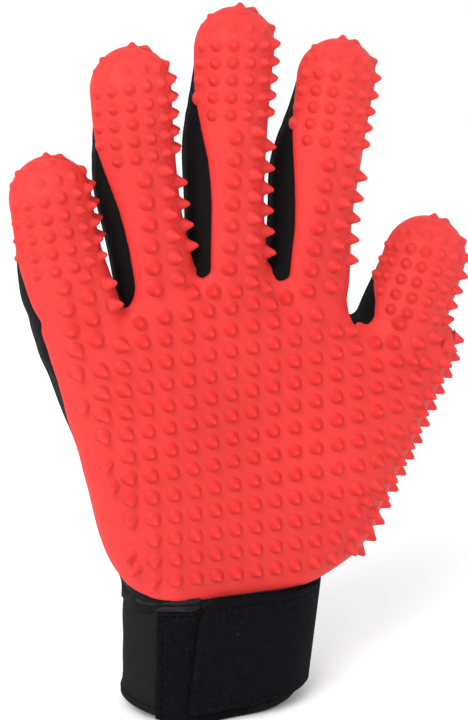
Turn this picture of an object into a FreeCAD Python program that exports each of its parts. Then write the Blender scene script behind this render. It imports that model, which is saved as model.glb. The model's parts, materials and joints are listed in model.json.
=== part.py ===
import FreeCAD, Part
import math
import os

# Grooming glove, right hand, standing fingers up as worn, in millimetres.
# +Z runs from the wrist to the fingertips, the palm faces -Y and the thumb is on the +X side.
# The origin lies inside the wrist opening, at the cuff's lower edge, in line with the middle finger.

# Driving dimensions
CUFF_HEIGHT = 43.0
CUFF_WALL = 3.0
BINDING_HEIGHT = 4.0
BINDING_PROUD = 0.5     # the binding tape stands this far out from the cuff, inside and outside
SILICONE = 2.0          # wall of the silicone pads on the palm
FINGER_SILICONE = 1.6   # wall of the silicone pads on the fingers
FABRIC = 1.2            # mesh fabric of the back and the side gussets
LINING = 0.8            # thin fabric under the palm pad
LINING_TOP = 110.0      # height where the lining ends, below the thumb's sleeve
SEAM_Y = 3.0            # the gusset strip lies between -SEAM_Y and +SEAM_Y
JOINT_GAP = 0.4         # half the gap between two sections that turn on each other
SLIDE_GAP = 0.3         # between a knuckle sleeve and the section that turns over it
SLEEVE_WALL = 0.7
BELOW_BASE = 22.0       # how far a finger pocket reaches down into the palm

# Cuff, then palm, as rounded bands: height, left edge, right edge, half depth
CUFF_BANDS = [(0.0, -37.0, 25.5, 20.5), (CUFF_HEIGHT, -35.5, 31.0, 18.5)]
PALM_BANDS = [
    (CUFF_HEIGHT, -35.5, 31.0, 18.5),
    (54.0, -40.5, 47.0, 18.3),
    (64.0, -43.0, 55.0, 18.0),
    (83.0, -47.0, 66.0, 17.0),
    (105.0, -54.0, 75.5, 16.0),
    (122.0, -60.5, 79.0, 14.5),
]
KNUCKLE_BANDS = [(118.0, -60.0, 50.0, 14.5), (137.0, -65.0, 41.0, 12.5)]
UPPER_KNUCKLE_BANDS = [(134.0, -37.0, 40.5, 12.4), (147.0, -36.5, 39.5, 11.8)]

# Digits: base point (x, z), lean towards the thumb side in degrees, length from base to tip,
# distance from the base to the first and the second bend, radii below and at the tip,
# and how far each bend turns, in degrees
DIGITS = {
    "little": dict(base=(-53.3, 137.0), lean=-8.5, length=53.0, bends=(5.0, 27.0),
                   radius=12.3, tip_radius=12.9, turns=(50.0, 50.0)),
    "ring": dict(base=(-25.2, 144.0), lean=-5.3, length=79.7, bends=(8.0, 50.0),
                 radius=12.0, tip_radius=12.9, turns=(60.0, 60.0)),
    "middle": dict(base=(-0.8, 150.0), lean=3.0, length=86.0, bends=(8.0, 54.0),
                   radius=12.2, tip_radius=13.1, turns=(60.0, 60.0)),
    "index": dict(base=(27.0, 144.0), lean=9.0, length=82.8, bends=(8.0, 52.0),
                  radius=12.5, tip_radius=13.3, turns=(60.0, 60.0)),
    "thumb": dict(base=(61.0, 121.8), lean=18.0, length=46.0, bends=(4.0, 24.0),
                  radius=14.6, tip_radius=13.7, turns=(45.0, 45.0)),
}

# Nubs: base radius, height, spacing along and across
PALM_NUB = (2.1, 4.6)
PALM_PITCH = (7.3, 7.3)
LOWER_NUB = (1.8, 3.8)
LOWER_PITCH = 7.0
TIP_NUB = (1.7, 2.2)
TIP_PITCH = 5.2
NUB_ROOT = 0.3          # how deep a nub's foot is sunk into the pad

# Wrist closure, measured outwards from the cuff's face
PATCH = (0.0, 1.2)
HOOK_FACING = (1.5, 2.1)
FLAP = (2.1, 4.1)
THREAD = 0.25
PATCH_EDGES = (-29.0, 2.0, 1.5, 39.0)     # left, right, bottom, top
FLAP_END = -18.0                          # free end of the flap on the palm side
FLAP_HEIGHTS = (4.0, 40.0)
HINGE_ANGLE = 45.0                        # where the flap starts to peel, round the thumb side
HINGE_GAP = 2.4                           # half the gap there, in degrees
ROOT_END = -10.0                          # where the strap is sewn down on the back
ARC_CENTRE_X = 9.0                        # centre of the cuff's thumb-side curve, halfway up
STRAP_LEAN = 8.0                          # the strap's end and hinge lean with the cuff, in degrees

FAR = 300.0


def vec(x, y, z):
    return FreeCAD.Vector(x, y, z)


def band_wire(z, left, right, depth):
    """A flat-sided oval at height z: two straight sides and two half circles."""
    a, b = left + depth, right - depth
    right_end = Part.Arc(vec(b, -depth, z), vec(right, 0, z), vec(b, depth, z)).toShape()
    left_end = Part.Arc(vec(a, depth, z), vec(left, 0, z), vec(a, -depth, z)).toShape()
    front = Part.makeLine(vec(a, -depth, z), vec(b, -depth, z))
    back = Part.makeLine(vec(b, depth, z), vec(a, depth, z))
    return Part.Wire([front, right_end, back, left_end])


def carried_on(end, neighbour, distance):
    """The end band moved a distance along Z, away from its neighbour, keeping its slope."""
    step = distance / abs(end[0] - neighbour[0])
    return tuple(e + (e - n) * step for e, n in zip(end, neighbour))


def band_solid(bands, inset, below=0.0, above=0.0):
    """The solid through a list of bands, drawn in by inset, and longer at each end as asked."""
    run = [carried_on(bands[0], bands[1], below)]
    run += bands[1:-1]
    run.append(carried_on(bands[-1], bands[-2], above))
    wires = [band_wire(z, left + inset, right - inset, depth - inset) for z, left, right, depth in run]
    return Part.makeLoft(wires, True, True)


def box(x0, x1, y0, y1, z0, z1):
    return Part.makeBox(x1 - x0, y1 - y0, z1 - z0, vec(x0, y0, z0))


def prism_x(points, half_width=40.0):
    """A prism along X whose outline is given as (y, z) points."""
    wire = Part.makePolygon([vec(-half_width, y, z) for y, z in points + points[:1]])
    return Part.Face(wire).extrude(vec(2 * half_width, 0, 0))


def prism_z(points, z0, z1):
    """A prism along Z whose outline is given as (x, y) points."""
    wire = Part.makePolygon([vec(x, y, z0) for x, y in points + points[:1]])
    return Part.Face(wire).extrude(vec(0, 0, z1 - z0))


def in_place(shape, digit):
    """Moves a shape from a digit's own axes, +Z along the digit, to where the digit stands."""
    placed = shape.copy()
    placed.rotate(vec(0, 0, 0), vec(0, 1, 0), digit["lean"])
    placed.translate(vec(digit["base"][0], 0, digit["base"][1]))
    return placed


def outside_bend(digit, which):
    """What lies on the tip side of a bend, less the wedge that lets it turn towards the palm."""
    z = digit["bends"][which] + JOINT_GAP
    rise = 60.0 * math.tan(math.radians(digit["turns"][which] / 2))
    return prism_x([(-60.0, z + rise), (0.0, z), (60.0, z), (60.0, FAR), (-60.0, FAR)])


def inside_bend(digit, which):
    """What lies on the wrist side of a bend, less the same wedge."""
    z = digit["bends"][which] - JOINT_GAP
    rise = 60.0 * math.tan(math.radians(digit["turns"][which] / 2))
    return prism_x([(-60.0, z - rise), (-60.0, -FAR), (60.0, -FAR), (60.0, z), (0.0, z)])


def turning_space(digit):
    """The space above a digit's first bend, as wide as the digit, that its lower section needs."""
    half_width = digit["radius"] + SLIDE_GAP
    block = box(-half_width, half_width, -60.0, 60.0, -BELOW_BASE, 60.0)
    return in_place(block.cut(inside_bend(digit, 0)), digit)


def digit_body(digit, inset, start=-BELOW_BASE):
    """The whole digit as a solid of revolution: a tube, a flare and a round tip."""
    r, tip_r = digit["radius"] - inset, digit["tip_radius"] - inset
    bend, centre = digit["bends"][1], digit["length"] - digit["tip_radius"]
    corner = tip_r * math.sqrt(0.5)
    edges = [
        Part.makeLine(vec(0, 0, start), vec(r, 0, start)),
        Part.makeLine(vec(r, 0, start), vec(r, 0, bend)),
        Part.makeLine(vec(r, 0, bend), vec(tip_r, 0, centre)),
        Part.Arc(vec(tip_r, 0, centre), vec(corner, 0, centre + corner), vec(0, 0, centre + tip_r)).toShape(),
        Part.makeLine(vec(0, 0, centre + tip_r), vec(0, 0, start)),
    ]
    return Part.Face(Part.Wire(edges)).revolve(vec(0, 0, 0), vec(0, 0, 1), 360)


def digit_stub(digit, inset):
    """The root of a digit, from inside the palm up to its first bend."""
    tube = Part.makeCylinder(digit["radius"] - inset, BELOW_BASE + 60, vec(0, 0, -BELOW_BASE))
    return in_place(tube.common(inside_bend(digit, 0)), digit)


def digit_bore(digit, inset):
    """The finger pocket through the palm's top edge, open at the bend."""
    tube = Part.makeCylinder(digit["radius"] - inset, BELOW_BASE + 60, vec(0, 0, -BELOW_BASE + 4))
    return in_place(tube, digit)


def palm_outside():
    body = band_solid(PALM_BANDS, 0)
    for bands in (KNUCKLE_BANDS, UPPER_KNUCKLE_BANDS):
        body = body.fuse(band_solid(bands, 0))
    for digit in DIGITS.values():
        body = body.fuse(digit_stub(digit, 0)).cut(turning_space(digit))
    return body


def palm_inside(inset, bore_inset):
    """The hand space, drawn in by inset from the palm and bore_inset from each digit."""
    body = band_solid(PALM_BANDS, inset, below=2.0, above=-inset)
    for bands in (KNUCKLE_BANDS, UPPER_KNUCKLE_BANDS):
        body = body.fuse(band_solid(bands, inset, below=6.0, above=-inset))
    for digit in DIGITS.values():
        body = body.fuse(digit_bore(digit, bore_inset))
    return body


def front_side():
    return box(-FAR, FAR, -FAR, -SEAM_Y, -FAR, FAR)


def back_side():
    return box(-FAR, FAR, SEAM_Y, FAR, -FAR, FAR)


def seam_strip():
    return box(-FAR, FAR, -SEAM_Y, SEAM_Y, -FAR, FAR)


def palm_band_at(z):
    """The palm's left edge, right edge and half depth at height z, read from its bands."""
    bands = PALM_BANDS if z <= PALM_BANDS[-1][0] else KNUCKLE_BANDS
    for low, high in zip(bands, bands[1:]):
        if low[0] <= z <= high[0]:
            t = (z - low[0]) / (high[0] - low[0])
            return [a + (b - a) * t for a, b in zip(low[1:], high[1:])]
    raise ValueError("height outside the palm")


def nub(size, foot, direction):
    """One blunt cone, its foot sunk into the pad, pointing along direction."""
    radius, height = size
    start = foot - direction * NUB_ROOT
    return Part.makeCone(radius, 0.25 * radius, height + NUB_ROOT, start, direction)


def near_a_bend(x, z):
    """Whether a nub at x and z on the palm would meet a digit's lower section as it turns."""
    for digit in DIGITS.values():
        lean = math.radians(digit["lean"])
        dx, dz = x - digit["base"][0], z - digit["base"][1]
        across = dx * math.cos(lean) - dz * math.sin(lean)
        along = dx * math.sin(lean) + dz * math.cos(lean)
        limit = digit["bends"][0] - nub_clearance(digit, 0, PALM_NUB[1])
        if abs(across) < digit["radius"] + PALM_NUB[0] and along > limit:
            return True
    return False


def palm_nubs():
    """Staggered rows of blunt cones over the flat of the palm."""
    along, across = PALM_PITCH
    cones = []
    z = CUFF_HEIGHT + 5.0
    row = 0
    while z < 133.0:
        left, right, depth = palm_band_at(z)
        x = across * math.ceil((left + 0.8 * depth) / across) + (row % 2) * across / 2
        while x < right - 0.8 * depth:
            if not near_a_bend(x, z):
                cones.append(nub(PALM_NUB, vec(x, -depth, z), vec(0, -1, 0)))
            x += across
        z += along
        row += 1
    return Part.makeCompound(cones)


def ring_nubs(digit, size, radius_at, rows, angles):
    """Cones standing on a digit: one at each height in rows and each angle off the palm side."""
    cones = []
    for z in rows:
        for angle in angles:
            turn = math.radians(angle)
            out = vec(math.sin(turn), -math.cos(turn), 0)
            foot = out * radius_at(z) + vec(0, 0, z)
            cones.append(nub(size, foot, out))
    return in_place(Part.makeCompound(cones), digit)


def spaced(start, end, pitch):
    """Evenly spaced values from start, no further than end; one in the middle if they don't fit."""
    if end < start:
        return [(start + end) / 2]
    return [start + pitch * i for i in range(int((end - start) / pitch) + 1)]


def nub_clearance(digit, which, height):
    """How far from a bend a nub may stand without meeting the one across the bend."""
    reach = digit["radius"] + height
    return reach * math.tan(math.radians(digit["turns"][which] / 2)) + 1.2


def lower_nubs(digit):
    first, second = digit["bends"]
    height = LOWER_NUB[1]
    start = first + nub_clearance(digit, 0, height)
    end = second - nub_clearance(digit, 1, height)
    return ring_nubs(digit, LOWER_NUB, lambda z: digit["radius"], spaced(start, end, LOWER_PITCH), (-32, 4, 40))


def tip_nubs(digit):
    bend, centre = digit["bends"][1], digit["length"] - digit["tip_radius"]
    start = bend + nub_clearance(digit, 1, TIP_NUB[1])

    def radius_at(z):
        if z > centre:
            return math.sqrt(digit["tip_radius"] ** 2 - (z - centre) ** 2)
        return digit["radius"] + (digit["tip_radius"] - digit["radius"]) * (z - bend) / (centre - bend)

    rows = spaced(start, centre + 0.5 * digit["tip_radius"], TIP_PITCH)
    return ring_nubs(digit, TIP_NUB, radius_at, rows, (-48, -24, 0, 24, 48))


def sleeve(digit, which):
    """A fabric sleeve inside a bend: a tube that ends in a ball the outer section turns over."""
    centre = digit["bends"][which]
    ball = digit["radius"] - FINGER_SILICONE - SLIDE_GAP
    rim = 0.85 * ball
    rim_z = math.sqrt(ball ** 2 - rim ** 2)
    inner = ball - SLEEVE_WALL
    inner_rim_z = math.sqrt(max(inner ** 2 - (rim - 0.2) ** 2, 0.01))
    tail = -0.9 * ball
    outer_mid = math.sqrt(0.5 * (1 + rim_z / ball)) * ball
    outer_mid_z = math.sqrt(ball ** 2 - outer_mid ** 2)
    inner_mid = 0.5 * (inner + rim - 0.2)
    inner_mid_z = math.sqrt(inner ** 2 - inner_mid ** 2)
    edges = [
        Part.makeLine(vec(ball, 0, tail), vec(ball, 0, 0)),
        Part.Arc(vec(ball, 0, 0), vec(outer_mid, 0, outer_mid_z), vec(rim, 0, rim_z)).toShape(),
        Part.makeLine(vec(rim, 0, rim_z), vec(rim - 0.2, 0, inner_rim_z)),
        Part.Arc(vec(rim - 0.2, 0, inner_rim_z), vec(inner_mid, 0, inner_mid_z), vec(inner, 0, 0)).toShape(),
        Part.makeLine(vec(inner, 0, 0), vec(inner, 0, tail)),
        Part.makeLine(vec(inner, 0, tail), vec(ball, 0, tail)),
    ]
    shell = Part.Face(Part.Wire(edges)).revolve(vec(0, 0, 0), vec(0, 0, 1), 360)
    shell.translate(vec(0, 0, centre))
    return in_place(shell, digit)


def digit_sections(name, digit):
    """The pad, back and gussets of a digit's lower section and of its tip section."""
    outer = digit_body(digit, 0)
    lower_zone = outside_bend(digit, 0).common(inside_bend(digit, 1))
    tip_zone = outside_bend(digit, 1)
    thick = outer.cut(digit_body(digit, FINGER_SILICONE, -BELOW_BASE - 1))
    thin = outer.cut(digit_body(digit, FABRIC, -BELOW_BASE - 1))
    return {
        name + "_lower_pad": in_place(thick.common(lower_zone).common(front_side()), digit),
        name + "_lower_back": in_place(thin.common(lower_zone).common(back_side()), digit),
        name + "_gussets": in_place(thin.common(lower_zone).common(seam_strip()), digit),
        name + "_tip_pad": in_place(thick.common(tip_zone).cut(back_side()), digit),
        name + "_tip_back": in_place(thin.common(tip_zone).common(back_side()), digit),
    }


def palm_parts():
    outside = palm_outside()
    under_pad = palm_inside(SILICONE, FINGER_SILICONE)
    under_lining = palm_inside(SILICONE + LINING, FINGER_SILICONE + LINING)
    under_fabric = palm_inside(FABRIC, FABRIC)
    fabric = outside.cut(under_fabric)
    strips = fabric.common(seam_strip()).Solids
    sides = [s for s in strips if s.BoundBox.ZMin < CUFF_HEIGHT + 1]
    webs = [s for s in strips if s.BoundBox.ZMin >= CUFF_HEIGHT + 1]
    sides.sort(key=lambda s: s.CenterOfMass.x)
    lining_zone = box(-FAR, FAR, -FAR, -SEAM_Y, CUFF_HEIGHT, LINING_TOP)
    return {
        "palm_pad": outside.cut(under_pad).common(front_side()),
        "palm_lining": under_pad.cut(under_lining).common(lining_zone),
        "back_panel": fabric.common(back_side()),
        "little_side_gusset": sides[0],
        "thumb_side_gusset": sides[-1],
        "web_gussets": Part.makeCompound(webs),
    }


def cuff_layer(start, end):
    """A layer round the cuff, between two distances outwards from its face."""
    outer = band_solid(CUFF_BANDS, -end)
    return outer.cut(band_solid(CUFF_BANDS, -start, below=1.0, above=1.0))


def closure_sector(first, last, end_x):
    """The part of the cuff's surroundings on one side of the hinge line, cut off at end_x."""
    reach = 90.0
    points = [(ARC_CENTRE_X, 0.0)]
    for angle in (first, (first + last) / 2, last):
        turn = math.radians(angle)
        points.append((ARC_CENTRE_X + reach * math.cos(turn), reach * math.sin(turn)))
    points.append((end_x, points[-1][1]))
    points.append((end_x, 0.0))
    sector = prism_z(points, -FAR, FAR)
    sector.rotate(vec(ARC_CENTRE_X, 0, sum(FLAP_HEIGHTS) / 2), vec(0, 1, 0), STRAP_LEAN)
    return sector.common(box(-FAR, FAR, -FAR, FAR, *FLAP_HEIGHTS))


def cuff_parts():
    ring = band_solid(CUFF_BANDS, 0).cut(band_solid(CUFF_BANDS, CUFF_WALL, below=1.0, above=1.0))
    lower_edge = box(-FAR, FAR, -FAR, FAR, 0.0, BINDING_HEIGHT)
    left, right, bottom, top = PATCH_EDGES
    patch_zone = box(left, right, -FAR, 0.0, bottom + 3.0, top)
    seam_zone = patch_zone.cut(box(left + 1.0, right + 1.0, -FAR, 0.0, bottom + 4.0, top - 1.0))
    gather_zone = box(-34.0, FLAP_END - 1.0, -FAR, 0.0, CUFF_HEIGHT - 4.0, CUFF_HEIGHT)
    return {
        "cuff_band": ring.cut(lower_edge),
        "cuff_binding": cuff_binding(),
        "hook_patch": cuff_layer(*PATCH).common(patch_zone),
        "patch_stitching": cuff_layer(PATCH[1], PATCH[1] + THREAD).common(seam_zone),
        "wrist_gather": cuff_layer(PATCH[1] + THREAD, PATCH[1] + 2.0).common(gather_zone),
    }


def cuff_binding():
    """The tape folded round the cuff's lower edge."""
    outer = band_solid(CUFF_BANDS, -BINDING_PROUD)
    inner = band_solid(CUFF_BANDS, CUFF_WALL + BINDING_PROUD, below=1.0, above=1.0)
    return outer.cut(inner).common(box(-FAR, FAR, -FAR, FAR, 0.0, BINDING_HEIGHT))


def leaning_box(left, right, low, high):
    """A block between two heights whose left and right faces lean with the strap."""
    block = box(left, right, -FAR, FAR, -FAR, FAR)
    block.rotate(vec(ARC_CENTRE_X, 0, sum(FLAP_HEIGHTS) / 2), vec(0, 1, 0), STRAP_LEAN)
    return block.common(box(-FAR, FAR, -FAR, FAR, low, high))


def strap_parts():
    root_zone = closure_sector(-HINGE_ANGLE + HINGE_GAP, 90.0, ROOT_END)
    flap_zone = closure_sector(-HINGE_ANGLE - HINGE_GAP, -90.0, FLAP_END)
    low, high = FLAP_HEIGHTS
    seam = leaning_box(FLAP_END + 1.6, 80.0, low + 1.6, high - 1.6)
    seam = seam.cut(leaning_box(FLAP_END + 2.6, 90.0, low + 2.6, high - 2.6))
    facing_zone = leaning_box(FLAP_END + 1.0, 5.0, low + 1.0, high - 5.0)
    return {
        "strap_root": cuff_layer(0.3, FLAP[1]).common(root_zone),
        "strap_flap": cuff_layer(*FLAP).common(flap_zone),
        "flap_hook_facing": cuff_layer(*HOOK_FACING).common(flap_zone).common(facing_zone),
        "flap_stitching": cuff_layer(FLAP[1], FLAP[1] + THREAD).common(flap_zone).common(seam),
    }


def all_parts():
    parts = {
        "palm_nubs": palm_nubs(),
        "knuckle_sleeves": Part.makeCompound([sleeve(digit, 0) for digit in DIGITS.values()]),
    }
    parts.update(palm_parts())
    parts.update(cuff_parts())
    parts.update(strap_parts())
    for name, digit in DIGITS.items():
        parts.update(digit_sections(name, digit))
        parts[name + "_bend_sleeve"] = sleeve(digit, 1)
        parts[name + "_lower_nubs"] = lower_nubs(digit)
        parts[name + "_tip_nubs"] = tip_nubs(digit)
    return parts


os.makedirs("parts", exist_ok=True)
for node, shape in all_parts().items():
    shape.exportStep("parts/" + node + ".step")
    print(node, len(shape.Solids), round(shape.Volume), shape.isValid())
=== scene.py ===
import json
import math
import bpy
import numpy as np
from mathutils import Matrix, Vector


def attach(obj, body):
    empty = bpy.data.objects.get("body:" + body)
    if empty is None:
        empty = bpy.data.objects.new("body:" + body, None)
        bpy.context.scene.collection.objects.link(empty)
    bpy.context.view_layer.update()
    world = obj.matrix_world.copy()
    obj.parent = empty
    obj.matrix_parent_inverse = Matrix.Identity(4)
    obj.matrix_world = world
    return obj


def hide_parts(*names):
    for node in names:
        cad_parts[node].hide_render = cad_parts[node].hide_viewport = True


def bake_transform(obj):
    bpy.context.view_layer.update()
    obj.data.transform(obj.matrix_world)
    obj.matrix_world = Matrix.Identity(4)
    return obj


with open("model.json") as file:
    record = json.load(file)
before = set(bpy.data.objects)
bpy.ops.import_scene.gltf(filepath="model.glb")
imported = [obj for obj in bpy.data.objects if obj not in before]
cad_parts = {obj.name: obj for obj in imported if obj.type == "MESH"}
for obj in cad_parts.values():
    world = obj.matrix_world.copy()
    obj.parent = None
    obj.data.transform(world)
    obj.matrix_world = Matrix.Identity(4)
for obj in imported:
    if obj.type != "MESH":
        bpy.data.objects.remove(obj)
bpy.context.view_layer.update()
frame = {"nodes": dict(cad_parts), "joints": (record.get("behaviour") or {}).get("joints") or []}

# Lengths in this script are in millimetres, in the frame's own axes: +Z to the fingertips,
# the palm faces -Y, the thumb is on the +X side. Meshes are scaled to metres when they are made.
MM = 0.001

DIGIT_NAMES = ("little", "ring", "middle", "index", "thumb")
JOINTS = {joint["name"]: joint for joint in frame["joints"]}

# The glove's skin
FABRIC_INSET = 1.0        # the fabric lies this far inside the CAD digits
PALM_INSET = 1.2
FABRIC_WALL = 1.0
PAD_THICKNESS = 1.6
PAD_ROUND = 1.8           # width of the pad's rounded edge
DEPTH_RATIO = 0.97        # how flat a digit is, front to back
VOXEL = 1.25              # grid of the surface that the skin is read from
SKIN_LOW, SKIN_HIGH = (-86.0, -24.0, 36.0), (96.0, 24.0, 250.0)
SKIN_FOOT = 38.0          # the skin ends here, inside the cuff

# Nubs: foot radius and height
CONE = (2.15, 3.5)
SPIKE = (2.25, 3.4)
BUTTON = (1.75, 2.2)
CROWN_BUMP = (1.5, 1.3)
NUB_SIDES = 14
LATTICE = 7.2             # spacing of the palm's nubs, both ways
LATTICE_X, LATTICE_Z = -31.0, 51.0        # the lattice's first column and row
LATTICE_TOP = 141.0
SPIKE_PITCH = 7.0         # along a finger's columns
EDGE_PITCH = 6.3          # along the palm's thumb-side edge
TIP_START, TIP_ROWS, TIP_COLUMNS = 6.5, 5.45, 5.6     # a fingertip's first row, and its rows' and columns' spacing

# How each digit's skin departs from its straight CAD tube:
#   bow        towards the little-finger side, halfway up
#   tip_set    of the tip, the other way
#   plump      stretched out by the finger inside
#   web_flare  towards the next digit, as the skin nears the web
#   outer_flare, outer_tuck  on the little-finger side: out, then into the palm's edge
#   bag        loose cloth on the back, on the little-finger side
#   web        the height above its knuckle from which the skin is shaped by the digit
DIGIT_SHAPES = {
    "little": dict(bow=0.6, tip_set=1.3, plump=1.4, web_flare=3.4, bag=0.0, web=-6.0,
                   outer_flare=0.9, outer_tuck=3.4),
    "ring": dict(bow=1.8, tip_set=0.7, plump=0.8, web_flare=1.7, bag=1.9, web=-4.0),
    "middle": dict(bow=1.8, tip_set=1.3, plump=0.9, web_flare=1.6, bag=1.6, web=-8.0),
    "index": dict(bow=1.5, tip_set=2.4, plump=1.5, web_flare=2.2, bag=2.6, web=-6.0),
    "thumb": dict(bow=-0.6, tip_set=3.3, plump=0.5, web_flare=0.0, bag=0.6, web=-4.0),
}


# ------------------------------------------------------------------ the frame's measures

def cad_points(node):
    """A CAD node's vertices in millimetres."""
    mesh = frame["nodes"][node].data
    points = np.empty(len(mesh.vertices) * 3)
    mesh.vertices.foreach_get("co", points)
    return points.reshape(-1, 3) / MM


def read_digit(name):
    """A digit's axes and sizes, from its joints and its CAD sections; s runs up it from its knuckle."""
    knuckle = np.array(JOINTS[name + "_knuckle"]["pos_m"]) / MM
    bend = np.array(JOINTS[name + "_bend"]["pos_m"]) / MM
    across = np.array(JOINTS[name + "_knuckle"]["axis"], float)
    bend_s = np.linalg.norm(bend - knuckle)
    along = (bend - knuckle) / bend_s
    tip = (cad_points(name + "_tip_pad") - knuckle) @ along
    tip_radius = np.abs((cad_points(name + "_tip_pad") - knuckle) @ across).max()
    radius = np.abs((cad_points(name + "_gussets") - knuckle) @ across).max()
    turns = [math.radians(JOINTS[name + end]["range_deg"][1]) for end in ("_knuckle", "_bend")]
    shape = dict(outer_flare=0.0, outer_tuck=0.0)
    shape.update(DIGIT_SHAPES[name])
    return dict(shape, name=name, knuckle=knuckle, bend=bend_s, along=along, across=across, reach=tip.max(),
                centre=tip.max() - tip_radius, tip_radius=tip_radius, radius=radius, turns=turns)


DIGITS = [read_digit(name) for name in DIGIT_NAMES]


def bend_zone(turn, radius):
    """How long a stretch of skin a joint needs to bend without folding over itself."""
    return 1.5 * turn * radius + 1.5


# ------------------------------------------------------------------ the shape as a field

def smooth_step(low, high, value):
    t = np.clip((value - low) / (high - low), 0.0, 1.0)
    return t * t * (3 - 2 * t)


def smooth_min(a, b, reach):
    """The lower of two distances, rounded where they are within reach of each other."""
    h = np.maximum(reach - np.abs(a - b), 0.0) / reach
    return np.minimum(a, b) - h * h * reach / 4


def digit_axes(digit, points):
    """Distance across, distance back and distance up a digit."""
    offset = points - digit["knuckle"]
    s = offset @ digit["along"]
    t = np.clip((s - digit["web"]) / (digit["reach"] - digit["web"]), 0.0, 1.0)
    shift = digit["bow"] * np.sin(math.pi * t) - digit["tip_set"] * t
    return offset @ digit["across"] + shift, offset[:, 1], s


def digit_radius(digit, s):
    """The fabric's radius along a digit: slim above the web, full at the tip."""
    low = digit["radius"] - FABRIC_INSET + digit["plump"]
    tip = digit["tip_radius"] - FABRIC_INSET - 0.3
    start = digit["bend"] - 14.0
    end = start + (digit["centre"] - digit["bend"] + 6.0) + 10.0
    return low + (tip - low) * smooth_step(start, end, s)


def digit_field(digit, points):
    """Signed distance to one digit's fabric: a bowed tube, with the swells and creases of worn cloth."""
    x, y, s = digit_axes(digit, points)
    low, radius = digit["web"], digit_radius(digit, s)
    above = np.maximum(s - digit["centre"], 0.0)
    below = np.maximum(low - 6.0 - s, 0.0)
    across, deep, past_bend = x / radius, y / radius, s - digit["bend"]
    outer_side = smooth_step(0.0, -0.9, across)
    swell = digit["web_flare"] * smooth_step(low + 26.0, low - 1.0, s) * smooth_step(0.1, 1.0, across)
    swell = swell + digit["outer_flare"] * smooth_step(low + 38.0, low + 8.0, s) * outer_side
    swell = swell - digit["outer_tuck"] * smooth_step(6.0, -12.0, s) * outer_side
    bag = np.exp(-((past_bend + 12.0) / 15.0) ** 2)
    swell = swell + digit["bag"] * bag * smooth_step(-0.2, -0.9, across) * smooth_step(-0.8, 0.0, deep)
    crease = 0.4 * np.cos(past_bend * 1.1) * np.exp(-(past_bend / 7.0) ** 2)
    swell = swell - crease * smooth_step(0.1, 0.7, deep)
    return np.sqrt(x * x + (y / DEPTH_RATIO) ** 2 + above ** 2 + below ** 2) - radius - swell


# The palm's outline, from the wrist up the little-finger side, over the webs, and down the thumb side
PALM_OUTLINE = [
    (0.0, 34.0), (-33.0, 34.0), (-37.0, 45.0), (-41.8, 54.0), (-45.2, 65.0), (-48.2, 79.0), (-52.3, 94.0),
    (-56.7, 106.0), (-60.4, 117.5), (-63.2, 127.0), (-64.6, 137.0), (-53.0, 140.0), (-40.0, 140.0),
    (-26.0, 147.0), (-13.2, 152.0), (-1.0, 152.5), (12.5, 152.0), (27.0, 146.0), (41.0, 137.0), (50.0, 131.5),
    (61.5, 131.5), (81.8, 127.0), (82.6, 117.5), (78.3, 108.0), (73.0, 98.0), (67.8, 88.0), (61.8, 78.0),
    (56.4, 67.5), (52.0, 57.0), (45.6, 49.0), (35.0, 42.0), (28.5, 34.0),
]


def closed_curve(points, steps):
    """A smooth closed curve through the points."""
    p = np.array(points, float)
    before, after, beyond = np.roll(p, 1, 0), np.roll(p, -1, 0), np.roll(p, -2, 0)
    t = (np.arange(steps) / steps)[:, None, None]
    curve = 0.5 * (2 * p + (after - before) * t + (2 * before - 5 * p + 4 * after - beyond) * t ** 2
                   + (3 * p - before - 3 * after + beyond) * t ** 3)
    return curve.transpose(1, 0, 2).reshape(-1, 2)


def outline_distance(points, outline):
    """Signed distance from points to a closed outline, negative inside."""
    a, b = outline, np.roll(outline, -1, 0)
    edge = b - a
    best = np.full(len(points), 1e9)
    inside = np.zeros(len(points), bool)
    for start, span, end in zip(a, edge, b):
        rel = points - start
        t = np.clip(rel @ span / (span @ span + 1e-12), 0, 1)
        best = np.minimum(best, ((rel - t[:, None] * span) ** 2).sum(1))
        crosses = (start[1] > points[:, 1]) != (end[1] > points[:, 1])
        x = start[0] + (points[:, 1] - start[1]) * span[0] / (span[1] + 1e-12)
        inside ^= crosses & (points[:, 0] < x)
    return np.sqrt(best) * np.where(inside, -1, 1)


class PalmMap:
    """The palm outline's distance on a grid, read back smoothly."""

    def __init__(self, step=1.0):
        self.low, self.step = np.array([-110.0, 10.0]), step
        xs = np.arange(self.low[0], 120.0, step)
        zs = np.arange(self.low[1], 260.0, step)
        grid = np.stack(np.meshgrid(xs, zs, indexing="ij"), -1)
        curve = closed_curve(PALM_OUTLINE, 8)
        self.values = outline_distance(grid.reshape(-1, 2), curve).reshape(grid.shape[:2])

    def __call__(self, x, z):
        u = np.clip((x - self.low[0]) / self.step, 0, self.values.shape[0] - 2.001)
        v = np.clip((z - self.low[1]) / self.step, 0, self.values.shape[1] - 2.001)
        i, j = u.astype(int), v.astype(int)
        du, dv = u - i, v - j
        g = self.values
        return ((g[i, j] * (1 - du) + g[i + 1, j] * du) * (1 - dv)
                + (g[i, j + 1] * (1 - du) + g[i + 1, j + 1] * du) * dv)


palm_map = PalmMap()

# Soft mounds on the palm: centre x and z, radius, height; the last one is a hollow
MOUNDS = [(44.0, 88.0, 27.0, 3.2), (-28.0, 80.0, 25.0, 2.0), (-42.0, 124.0, 16.0, 1.4),
          (-20.0, 132.0, 15.0, 1.2), (4.0, 136.0, 15.0, 1.2), (28.0, 130.0, 14.0, 1.0),
          (6.0, 98.0, 24.0, -1.8)]

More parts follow.
